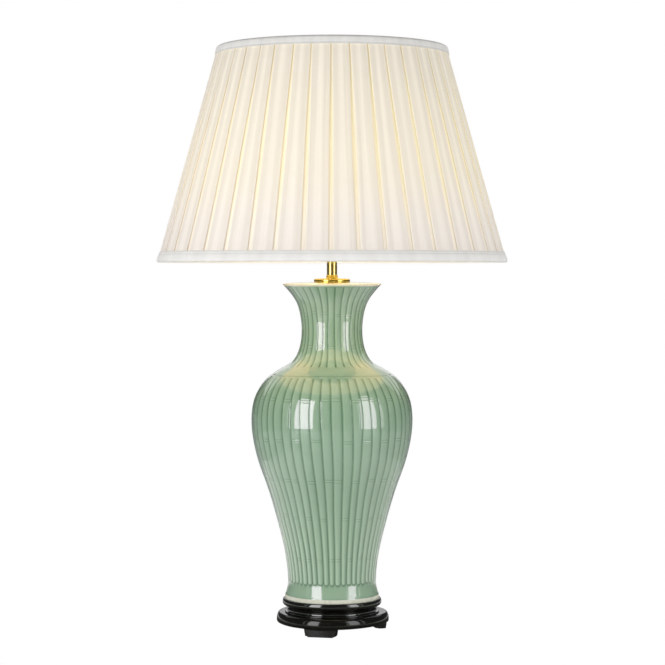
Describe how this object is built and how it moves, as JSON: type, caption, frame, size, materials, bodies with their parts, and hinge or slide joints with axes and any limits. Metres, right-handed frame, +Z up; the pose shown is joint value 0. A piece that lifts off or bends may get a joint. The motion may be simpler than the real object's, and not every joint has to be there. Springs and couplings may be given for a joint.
{
  "type": "table lamp",
  "caption": "Table lamp with a fluted celadon baluster vase, brass stem, black lacquered three-footed stand and a box-pleated empire shade.",
  "frame": {"origin": "the lamp's vertical axis where it meets the surface it stands on", "axes": "+Z up along the vase, stem and shade; -Y is the front, with the flex inlet at the back on +Y; +X to the right as seen from the front"},
  "size_m": [0.4571, 0.4572, 0.7604],
  "materials": {
    "celadon_glaze": "thick glossy celadon glaze, darker where it pools in the carved grooves, cream at lip and foot",
    "black_lacquer": "polished black lacquer on hardwood",
    "polished_brass": "polished and lacquered",
    "zinc_steel": "bright zinc plate",
    "terminal_brass": "plain",
    "socket_nickel": "nickel plate",
    "porcelain": "glazed",
    "phenolic": "moulded black, gloss",
    "black_rubber": "matt",
    "felt": "pressed felt",
    "opal_glass": "frosted inside, lit",
    "bulb_aluminium": "rolled thread",
    "bulb_insulator": "black vitrite",
    "solder": "dull",
    "shade_wire": "ivory enamel on steel wire",
    "pleated_silk": "ivory silk in box pleats",
    "lining_silk": "cream lining",
    "trim_binding": "white self-fold binding with two rows of stitches"
  },
  "bodies": {
    "base": {"felt_pads": "felt", "stand_feet": "black_lacquer", "stand_plate": "black_lacquer", "stand_plinth": "black_lacquer", "stand_screws": "zinc_steel", "rod_nut": "zinc_steel", "rod_washer": "zinc_steel", "cable_bush": "black_rubber", "vase_gasket": "black_rubber", "vase": "celadon_glaze", "threaded_rod": "zinc_steel", "cap_gasket": "black_rubber", "vase_cap": "polished_brass", "check_ring": "polished_brass", "stem_tube": "polished_brass", "holder_cap": "polished_brass", "grub_screw": "zinc_steel", "switch_block": "phenolic", "terminal_screws": "terminal_brass", "holder_shell": "polished_brass", "holder_insulator": "porcelain", "socket_shell": "socket_nickel", "centre_contact": "terminal_brass"},
    "switch": {"switch_bar": "phenolic"},
    "ring": {"retaining_ring": "polished_brass"},
    "bulb": {"bulb_globe": "opal_glass", "bulb_neck": "opal_glass", "bulb_cap": "bulb_aluminium", "bulb_cap_insulator": "bulb_insulator", "bulb_contact": "solder"},
    "shade": {"shade_bottom_ring": "shade_wire", "shade_top_ring": "shade_wire", "shade_struts": "shade_wire", "shade_arms": "shade_wire", "shade_fitter_ring": "shade_wire", "shade_cover": "pleated_silk", "shade_lining": "lining_silk", "bottom_trim": "trim_binding", "top_trim": "trim_binding"}
  },
  "joints": [
    {"name": "switch_push", "type": "slide", "parent": "base", "child": "switch", "axis": [1, 0, 0], "range_m": [-0.006, 0]},
    {"name": "ring_unscrew", "type": "slide", "parent": "base", "child": "ring", "axis": [0, 0, 1], "range_m": [0, 0.018]},
    {"name": "bulb_out", "type": "slide", "parent": "base", "child": "bulb", "axis": [0, 0, 1], "range_m": [0, 0.235]},
    {"name": "shade_turn", "type": "hinge", "parent": "base", "child": "shade", "pos_m": [0, 0, 0.5431], "axis": [0, 0, 1], "continuous": true}
  ]
}
